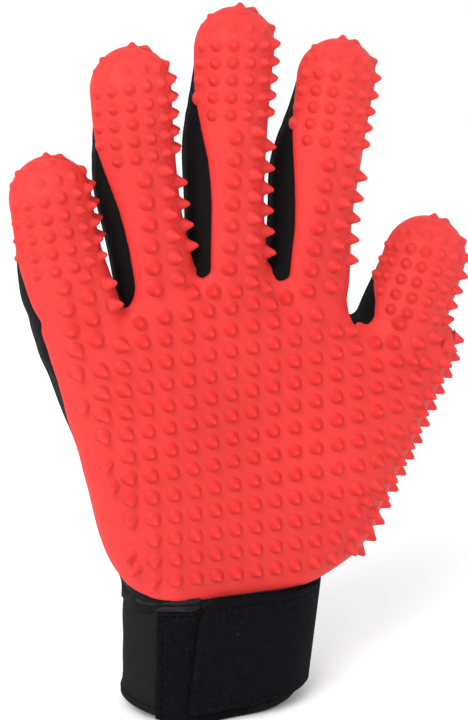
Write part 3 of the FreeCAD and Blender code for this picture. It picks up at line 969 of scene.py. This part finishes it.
def build_fabric(verts, tris, thread):
    """The gussets and the back of the hand, a shell each, with a seam between them."""
    verts, tris, values, _ = split(verts, tris, seam_y(verts), np.zeros((len(verts), 1)))
    normals = unit(field_normals(verts))
    numbers = piece_numbers(verts[tris].mean(1))
    back = (values[tris] >= 0).all(1)
    cloths = (("back", back, mesh_fabric_material(), "black_mesh"), ("gusset", ~back, knit_material(), "black_knit"))
    for number in range(SKIN_PIECES):
        here = numbers == number
        for label, side, material, slot in cloths:
            points, faces, used = shell(verts, normals, tris[here & side], 0.0, -FABRIC_WALL)
            piece = make_object(label + "_" + piece_label(number), points, faces,
                                np.concatenate([normals[used], -normals[used]]))
            finish_piece(piece, material, replaced_nodes(number)[label])
            blend_piece(piece, number)
        seam = seam_pieces(tris[here & back], tris[here & ~back], verts)
        if seam.count:
            seam = seam.build("seam_" + piece_label(number))
            finish_piece(seam, thread)
            blend_piece(seam, number)


def chains(edges):
    """Runs of joined edges, as lists of vertex numbers."""
    neighbours = {}
    for a, b in edges:
        neighbours.setdefault(a, []).append(b)
        neighbours.setdefault(b, []).append(a)
    left = set(neighbours)
    starts = sorted(v for v in neighbours if len(neighbours[v]) == 1) + sorted(neighbours)
    runs = []
    for start in starts:
        if start not in left:
            continue
        run = [start]
        left.discard(start)
        while True:
            onward = [v for v in neighbours[run[-1]] if v in left]
            if not onward:
                break
            run.append(onward[0])
            left.discard(onward[0])
        if len(run) > 4:
            runs.append(run)
    return runs


def resample(points, step):
    """Points at an even spacing along a run."""
    length = distance_along(points)
    at = np.linspace(0, length[-1], max(int(length[-1] / step), 2) + 1)
    return np.stack([np.interp(at, length, points[:, n]) for n in range(3)], 1)


def tube(path, normals, width, height, sides=6):
    """A flattened cord along a path: verts, faces, normals."""
    along = unit(np.gradient(path, axis=0))
    across = unit(np.cross(along, normals))
    up = np.cross(across, along)
    angles = np.arange(sides) * 2 * math.pi / sides
    ring = across[:, None] * (np.cos(angles) * width)[:, None] + up[:, None] * (np.sin(angles) * height)[:, None]
    verts = (path[:, None] + ring).reshape(-1, 3)
    last = (len(path) - 1) * sides
    faces = ring_faces(len(path), sides) + [list(range(sides))[::-1], [last + i for i in range(sides)]]
    return verts, faces, unit(ring).reshape(-1, 3)


def stitch_run(pieces, path, normals, length=1.7, gap=0.8, radius=0.12):
    """Stitches lying along a path of closely spaced points."""
    walked = distance_along(path)
    at = gap
    while at + length < walked[-1]:
        ts = np.linspace(at, at + length, 4)
        points = np.stack([np.interp(ts, walked, path[:, n]) for n in range(3)], 1)
        ups = unit(np.stack([np.interp(ts, walked, normals[:, n]) for n in range(3)], 1))
        points = points + ups * (np.array([-0.12, 0.05, 0.05, -0.12])[:, None])
        pieces.add(*tube(points, ups, radius, radius, 5))
        at += length + gap


def edge_set(tris):
    """The triangles' edges, as pairs of vertex numbers."""
    edges = np.sort(np.concatenate([tris[:, [0, 1]], tris[:, [1, 2]], tris[:, [2, 0]]]), axis=1)
    return set(map(tuple, edges.tolist()))


def seam_pieces(back, front, verts):
    """The welt along the seam, and a row of stitches behind it."""
    pieces = Pieces()
    for run in chains(sorted(edge_set(back) & edge_set(front))):
        path = resample(verts[run], 1.2)
        if len(path) < 4:
            continue
        path = onto_surface(path, 0.0, rounds=2)
        path[1:-1] = (path[:-2] + path[1:-1] * 2 + path[2:]) / 4
        ups = unit(field_normals(path))
        pieces.add(*tube(path, ups, 0.55, 0.38))
        side = unit(np.cross(ups, np.gradient(path, axis=0)))
        backward = 1.0 if side[:, 1].mean() > 0 else -1.0
        behind = onto_surface(path + side * backward * 1.5, 0.0)
        stitch_run(pieces, behind, unit(field_normals(behind)))
    return pieces


def build_pad(verts, tris):
    """The silicone pad with its nubs, one piece for each part of the skin."""
    margin = pad_margin(verts)
    marks = margin[:, None]
    for level in (0.0, 0.35, 0.9, PAD_ROUND):
        verts, tris, _, marks = split(verts, tris, marks[:, 0] - level, marks)
    margin = marks[:, 0]
    tris = tris[(margin[tris] >= -1e-6).all(1)]
    base_normals = unit(field_normals(verts))
    outer = pad_height(margin)
    outer_normals = vertex_normals(verts + base_normals * outer[:, None], tris)
    numbers = piece_numbers(verts[tris].mean(1))
    nubs = NubField()
    for digit in DIGITS:
        fingertip_nubs(nubs, digit)
        finger_nubs(nubs, digit)
    palm_edge_nubs(nubs)
    palm_lattice(nubs)
    fill_nubs(nubs)
    nub_numbers = piece_numbers(np.array([item[0] for item in nubs.items]))
    silicone = silicone_material()
    for number in range(SKIN_PIECES):
        pieces = Pieces()
        points, faces, used = shell(verts, base_normals, tris[numbers == number], outer, 0.03)
        pieces.add(points, faces, np.concatenate([outer_normals[used], -base_normals[used]]))
        for item, owner in zip(nubs.items, nub_numbers):
            if owner == number:
                pieces.add(*nub_mesh(*item))
        piece = pieces.build("pad_" + piece_label(number))
        finish_piece(piece, silicone, replaced_nodes(number)["pad"])
        blend_piece(piece, number)


# ------------------------------------------------------------------ the cuff and its strap

def read_cuff():
    """The band's foot and top, and its left edge, right edge and half depth at each."""
    points = cad_points("cuff_band")
    low, high = points[:, 2].min(), points[:, 2].max()
    rows = []
    for z in (low, high):
        ring = points[np.abs(points[:, 2] - z) < 0.1]
        rows.append((ring[:, 0].min(), ring[:, 0].max(), ring[:, 1].max()))
    return low, high, rows


CUFF = read_cuff()
CUFF_TOP, CUFF_MIDDLE = 44.0, 22.0
BAND_WALL = 3.0
HEM_HEIGHT = 3.6
PATCH_LEFT, PATCH_RIGHT = -29.3, 3.0        # the patch's edges, in x; the strap's flap covers the right one
PATCH_FOOT, PATCH_HEIGHT = 0.3, 39.2
FLAP_CORNERS = (7.0, 2.5)                   # rounding of its free end, at the top and at the foot
STRAP_PIVOT = np.array(JOINTS["strap_peel"]["pos_m"]) / MM
STRAP_AXIS = np.array(JOINTS["strap_peel"]["axis"], float)
STRAP_TOP, STRAP_FOOT = 42.6, 4.0
STRAP_RISE = 1.6          # its lower edge is this much higher at the hinge than at its free end
STRAP_THICK = 2.2
FLAP_OUT, ROOT_OUT = 1.5, 0.4     # how far the strap's inner face stands off the band, on the flap and on the root
FLAP_EDGE = cad_points("strap_flap")[:, 0].min() + 2.4      # the flap's free end, halfway up


def cuff_oval(z):
    """The cuff's section at a height: the x of the centres of its two round ends, and their radius."""
    low, high, rows = CUFF
    t = (z - low) / (high - low)
    left, right, depth = (a + (b - a) * t for a, b in zip(*rows))
    return left + depth, right - depth, depth


def cuff_place(u, z, out=0.0):
    """Points and outward normals at a distance u round the cuff from the middle of its front
    (positive towards the thumb), at height z, standing out from its face."""
    a, b, depth = cuff_oval(z)
    half = (b - a) / 2
    side = np.where(u < 0, -1.0, 1.0)
    v = np.abs(u)
    turn = np.clip((v - half) / depth, 0.0, math.pi)
    back = np.maximum(v - half - math.pi * depth, 0.0)
    x = np.minimum(v, half) + depth * np.sin(turn) - back
    normal = np.stack([side * np.sin(turn), -np.cos(turn), np.zeros_like(turn)], -1)
    point = np.stack([(a + b) / 2 + side * x, -depth * np.cos(turn), z + 0.0 * u], -1)
    return point + normal * np.asarray(out)[..., None], normal


def cuff_u(x, z):
    """The distance round the cuff's front at which it reaches x."""
    a, b, depth = cuff_oval(z)
    rel = x - (a + b) / 2
    half = (b - a) / 2
    beyond = np.clip((np.abs(rel) - half) / depth, 0.0, 0.999)
    return np.sign(rel) * (np.minimum(np.abs(rel), half) + depth * np.arcsin(beyond))


def hem_height(us):
    """Height of the cuff's lower edge round the cuff: it dips in the middle."""
    x = cuff_place(us, 20.0)[0][..., 0]
    return 0.4 + 4.2 * ((x + 4.0) / 34.0) ** 2


def cuff_sheet(us, zs, out, thick, round_edge, closed=False):
    """A sheet on the cuff: us and zs are grids of places, out the height of its inner face."""
    rows, columns = us.shape
    base, normals = cuff_place(us, zs)
    wide = np.linalg.norm(np.diff(base, axis=1), axis=2)
    tall = np.linalg.norm(np.diff(base, axis=0), axis=2)
    across = np.concatenate([np.zeros((rows, 1)), np.cumsum(wide, axis=1)], axis=1)
    up = np.concatenate([np.zeros((1, columns)), np.cumsum(tall, axis=0)], axis=0)
    inside = np.minimum(up, up[-1:] - up)
    if not closed:
        inside = np.minimum(inside, np.minimum(across, across[:, -1:] - across))
    t = np.clip(inside / round_edge, 0.0, 1.0)
    half = (0.15 + 0.85 * np.sqrt(np.maximum(1 - (1 - t) ** 2, 0.0))) * thick / 2
    middle = out + thick / 2
    outer = base + normals * (middle + half)[..., None]
    inner = base + normals * (middle - half)[..., None]
    count = rows * columns
    spans = [(c, (c + 1) % columns) for c in range(columns if closed else columns - 1)]
    faces = []
    for low in range(0, count - columns, columns):
        high, right = low + columns, columns - 1
        for c, d in spans:
            quad = [low + c, low + d, high + d, high + c]
            faces += [quad, [i + count for i in quad[::-1]]]
        if not closed:
            faces += [[low, high, high + count, low + count],
                      [high + right, low + right, low + right + count, high + right + count]]
    top = count - columns
    for c, d in spans:
        faces += [[d, c, c + count, d + count], [top + c, top + d, top + d + count, top + c + count]]
    return np.concatenate([outer.reshape(-1, 3), inner.reshape(-1, 3)]), faces


def rounded_rows(count):
    """Shares from 0 to 1 as a column, closer together near both ends."""
    even = np.linspace(0, 1, count)
    return (0.6 * (1 - np.cos(math.pi * even)) / 2 + 0.4 * even)[:, None]


def cuff_piece(name, sheet, material, slot, *nodes):
    """A finished piece from a cuff sheet, not yet tied to a body."""
    piece = make_object(name, *sheet)
    finish_piece(piece, material, nodes)
    return piece


def stitch_cuff(pieces, us, zs, out, **size):
    """Stitches along a line on the cuff."""
    stitch_run(pieces, *cuff_place(us, zs, out), **size)


def build_cuff(thread):
    pile = pile_material()
    a, b, depth = cuff_oval(20.0)
    around = 2 * (b - a) + 2 * math.pi * depth
    build_band(around)
    build_patch(pile)
    build_gather()
    build_cuff_stitches(thread, around)
    build_flap(pile, thread)
    build_root(pile, thread)


def build_band(around):
    """The neoprene band with soft creases, and its hem, a folded edge of the same cloth, sewn down."""
    columns, rows, hem_rows = 260, 44, 8
    us = np.broadcast_to((np.arange(columns) / columns - 0.5) * around, (rows, columns))
    foot = hem_height(us)
    zs = foot + (CUFF_TOP - foot) * rounded_rows(rows)
    crease = 0.10 * np.sin(zs * 0.42 + 1.8 * np.sin(us * 0.06) + 0.8) + 0.22 * np.sin(zs * 0.16 - us * 0.05)
    crease *= smooth_step(0.0, 8.0, zs - foot) * smooth_step(CUFF_TOP, CUFF_TOP - 8.0, zs)
    sheet = cuff_sheet(us, zs, crease - BAND_WALL, BAND_WALL, 1.4, closed=True)
    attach(cuff_piece("cuff", sheet, fine_cloth("neoprene").material, "neoprene", "cuff_band"), "palm")
    zs = foot[:hem_rows] - 0.2 + HEM_HEIGHT * rounded_rows(hem_rows)
    sheet = cuff_sheet(us[:hem_rows], zs, -0.35, 0.7, 0.9, closed=True)
    tape = fine_cloth("binding_tape").material
    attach(cuff_piece("cuff_hem", sheet, tape, "binding_tape", "cuff_binding"), "palm")


def build_patch(pile):
    """The pile patch: its selvedge is a little ragged, and it hangs just below the hem."""
    up, along = rounded_rows(40), np.linspace(0, 1, 60)
    z_mid = PATCH_FOOT + PATCH_HEIGHT * up
    x_left = PATCH_LEFT + 0.03 * (z_mid - 20.0) + 0.14 * np.sin(z_mid * 5.3)
    xs = x_left + (PATCH_RIGHT - x_left) * along
    zs = z_mid + 1.5 * ((xs + 14) / 16.0) ** 2 * (1 - up)
    sheet = cuff_sheet(cuff_u(xs, zs), zs, 0.35, 1.1, 0.6)
    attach(cuff_piece("hook_patch_pile", sheet, pile, "loop_pile", "hook_patch"), "palm")


def build_gather():
    """Loose coated fabric that bunches up between the pad and the patch, in a few soft folds."""
    up, along = np.linspace(0, 1, 40)[:, None], np.linspace(0, 1, 110)
    xs = -34.6 + 19.4 * along + 0.0 * up
    low = 38.2 + 1.2 * np.sin(along * 3.0) + 2.6 * smooth_step(0.35, 0.0, along)
    zs = low + (CUFF_TOP - low) * up
    folds = 0.75 + 0.75 * np.sin(zs * 2.1 - 0.9 * np.sin(xs * 0.22) + 0.6)
    folds = folds + 0.35 * np.sin(xs * 0.55 + zs * 0.9) * np.sin(xs * 0.21 + 1.0)
    fade = smooth_step(0.0, 0.12, along) * smooth_step(1.0, 0.85, along)
    fade = fade * smooth_step(0.0, 0.15, up) * smooth_step(1.05, 0.5, up)
    sheet = cuff_sheet(cuff_u(xs, zs), zs, 0.15 + 0.6 * folds * fade, 0.5, 0.3)
    coated = fine_cloth("coated_fabric").material
    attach(cuff_piece("wrist_folds", sheet, coated, "coated_fabric", "wrist_gather"), "palm")


def build_cuff_stitches(thread, around):
    """Stitches round the top of the cuff and round its hem, and down and along the patch."""
    pieces = Pieces()
    ring = np.linspace(-0.5, 0.5, 400) * around
    stitch_cuff(pieces, ring, 42.6, 0.3)
    stitch_cuff(pieces, ring, hem_height(ring) + 2.4, 0.36)
    zs = np.linspace(2.0, 38.5, 60)
    stitch_cuff(pieces, cuff_u(-27.6 + 0.03 * (zs - 20.0), zs), zs, 1.5)
    stitch_cuff(pieces, cuff_u(np.linspace(-27.4, 2.0, 50), 38.3), 38.3, 1.5)
    stitches = pieces.build("cuff_stitches")
    finish_piece(stitches, thread, ("patch_stitching",))
    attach(stitches, "palm")


def strap_left(z):
    """The flap's free end leans with the cuff."""
    return FLAP_EDGE + (z - CUFF_MIDDLE) * STRAP_AXIS[0] / STRAP_AXIS[2]


def strap_wave(us, zs):
    """How far the flap's cloth waves outwards."""
    return 0.25 * np.sin(us * 0.17 + zs * 0.1)


def hinge_u():
    """Where the hinge line stands round the cuff, halfway up."""
    a, b, depth = cuff_oval(CUFF_MIDDLE)
    return (b - a) / 2 + depth * math.atan2(STRAP_PIVOT[0] - b, -STRAP_PIVOT[1])


def build_flap(pile, thread):
    """The part of the strap that peels at the hinge, the stitches round its edges and the hook tape under it."""
    up, along = rounded_rows(46), np.linspace(0, 1, 90)
    level = STRAP_FOOT + (STRAP_TOP - STRAP_FOOT) * up
    zs = level + STRAP_RISE * smooth_step(0.0, 1.0, along) * (1 - up)
    x_left = strap_left(level)
    for corner, from_edge in zip(FLAP_CORNERS, (STRAP_TOP - level, level - STRAP_FOOT)):
        drop = np.maximum(corner - from_edge, 0.0)
        x_left = x_left + corner - np.sqrt(np.maximum(corner ** 2 - drop ** 2, 0.0))
    u_left = cuff_u(x_left, level)
    us = u_left + (hinge_u() + 3.0 - u_left) * along
    wave = strap_wave(us, zs) * smooth_step(0.0, 10.0, us - u_left)
    lift = 0.5 * smooth_step(6.0, 0.0, us - u_left)
    sheet = cuff_sheet(us, zs, FLAP_OUT + wave + lift, STRAP_THICK, 1.1)
    blend_strap(cuff_piece("strap_flap_pile", sheet, pile, "loop_pile", "strap_flap"))

    pieces, face = Pieces(), FLAP_OUT + STRAP_THICK
    zs = np.linspace(STRAP_FOOT + 2.6, STRAP_TOP - 5.0, 60)
    stitch_cuff(pieces, cuff_u(strap_left(zs) + 2.4, zs), zs, face + 0.25, radius=0.10)
    line = np.linspace(0, 1, 90)
    for height, inset, rise in ((STRAP_FOOT + 2.4, 2.4, STRAP_RISE), (STRAP_TOP - 2.4, 7.0, 0.0)):
        start = cuff_u(strap_left(height) + inset, height)
        us = start + (hinge_u() - 1.0 - start) * line
        zs = height + rise * smooth_step(0.0, 1.0, line)
        stitch_cuff(pieces, us, zs, face + strap_wave(us, zs) - 0.02, radius=0.10)
    stitches = pieces.build("flap_stitches")
    finish_piece(stitches, thread, ("flap_stitching",))
    blend_strap(stitches)

    zs = 6.0 + 31.0 * np.linspace(0, 1, 40)[:, None]
    xs = strap_left(zs) + 2.0 + 24.0 * np.linspace(0, 1, 50)
    sheet = cuff_sheet(cuff_u(xs, zs), zs, FLAP_OUT - 0.35, 0.5, 0.3)
    hooks = fine_cloth("hook_tape").material
    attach(cuff_piece("flap_hooks", sheet, hooks, "hook_tape", "flap_hook_facing"), "strap")


def build_root(pile, thread):
    """The part of the strap that is sewn round to the back, with a crossed box of stitches at its end."""
    a, b, depth = cuff_oval(CUFF_MIDDLE)
    end = (b - a) / 2 + math.pi * depth + (b + 10.0)
    low = STRAP_FOOT + STRAP_RISE
    start = hinge_u() + 2.4
    up = rounded_rows(46)
    us = start + (end - start) * np.linspace(0, 1, 80) + 0.0 * up
    out = FLAP_OUT + (ROOT_OUT - FLAP_OUT) * smooth_step(4.0, 22.0, us - hinge_u())
    sheet = cuff_sheet(us, low + (STRAP_TOP - low) * up, out, STRAP_THICK, 1.1)
    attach(cuff_piece("strap_root_pile", sheet, pile, "loop_pile", "strap_root"), "palm")
    near, far, foot, top = end - 16.0, end - 2.4, STRAP_FOOT + 4.2, STRAP_TOP - 2.6
    corners = np.array([(near, foot), (far, foot), (far, top), (near, top)])
    pieces, line = Pieces(), np.linspace(0, 1, 90)[:, None]
    for i, j in ((0, 1), (1, 2), (2, 3), (3, 0), (0, 2), (3, 1)):
        us, zs = (corners[i] + (corners[j] - corners[i]) * line).T
        stitch_cuff(pieces, us, zs, ROOT_OUT + STRAP_THICK)
    stitches = pieces.build("strap_root_stitches")
    finish_piece(stitches, thread)
    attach(stitches, "palm")


def blend_strap(piece):
    """Works out the direction along the flap away from the hinge, then only bakes the piece's transform into its
    mesh.
    """
    _, normal = cuff_place(np.array([hinge_u()]), np.array([CUFF_MIDDLE]))
    along = unit(np.cross(normal[0], STRAP_AXIS))
    if along[0] > 0:
        along = -along
    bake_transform(piece)


# ------------------------------------------------------------------ stage

def build_stage():
    """A wide white floor that curves up into a low wall far behind, all the way round, and even light."""
    profile = [(0.5, 0.0), (1.6, 0.0), (2.4, 0.05), (3.0, 0.3), (3.3, 0.8), (3.4, 1.6)]
    sides = 96
    turns = 2 * math.pi * np.arange(sides) / sides
    verts = [np.stack([r * np.cos(turns), r * np.sin(turns), np.full(sides, z)], 1) / MM for r, z in profile]
    walls = [face[::-1] for face in ring_faces(len(profile), sides)]
    floor = make_object("floor", np.concatenate(verts), [list(range(sides))] + walls)
    look = Look("floor_paint", 0.95, 0.1)
    look.shader["Base Color"].default_value = (0.96, 0.96, 0.96, 1)
    floor.data.materials.append(look.material)
    world = bpy.data.worlds.new("studio")
    bpy.context.scene.world = world
    world.use_nodes = True
    background = world.node_tree.nodes["Background"].inputs
    background["Color"].default_value = (1, 1, 1, 1)
    background["Strength"].default_value = 1.0


STUDIO_TARGET = (0, 0, 0.12)      # in metres, as are the lights' places


def area_light(name, place, size, power):
    light = bpy.data.lights.new(name, "AREA")
    light.energy = power
    light.size = size
    obj = bpy.data.objects.new(name, light)
    obj.location = place
    obj.rotation_euler = (Vector(STUDIO_TARGET) - Vector(place)).to_track_quat("-Z", "Y").to_euler()
    bpy.context.scene.collection.objects.link(obj)


CAMERA_AZIMUTH, CAMERA_ELEVATION = math.radians(-20.0), math.radians(12.0)
CAMERA_TARGET = Vector((0.0035, 0.0, 0.1195))
CAMERA_DISTANCE, VIEW_HEIGHT = 0.54, 0.243        # in metres, the height as seen at the target
SENSOR = 24.0


def build_camera():
    level = math.cos(CAMERA_ELEVATION)
    direction = Vector((math.sin(CAMERA_AZIMUTH) * level, -math.cos(CAMERA_AZIMUTH) * level,
                        math.sin(CAMERA_ELEVATION)))
    camera_data = bpy.data.cameras.new("camera")
    camera_data.sensor_fit = "VERTICAL"
    camera_data.sensor_height = SENSOR
    camera_data.lens = SENSOR / (VIEW_HEIGHT / CAMERA_DISTANCE)
    camera = bpy.data.objects.new("camera", camera_data)
    camera.location = CAMERA_TARGET + direction * CAMERA_DISTANCE
    camera.rotation_euler = (-direction).to_track_quat("-Z", "Y").to_euler()
    bpy.context.scene.collection.objects.link(camera)
    bpy.context.scene.camera = camera
    bpy.context.scene.view_settings.view_transform = "Standard"


skin = build_skin()
thread = thread_material()
build_fabric(*skin, thread)
build_pad(*skin)
build_cuff(thread)
build_stage()
area_light("key", (-0.8, -0.8, 1.0), 0.8, 16.0)
area_light("fill", (0.9, -0.9, 0.4), 1.0, 2.0)
build_camera()
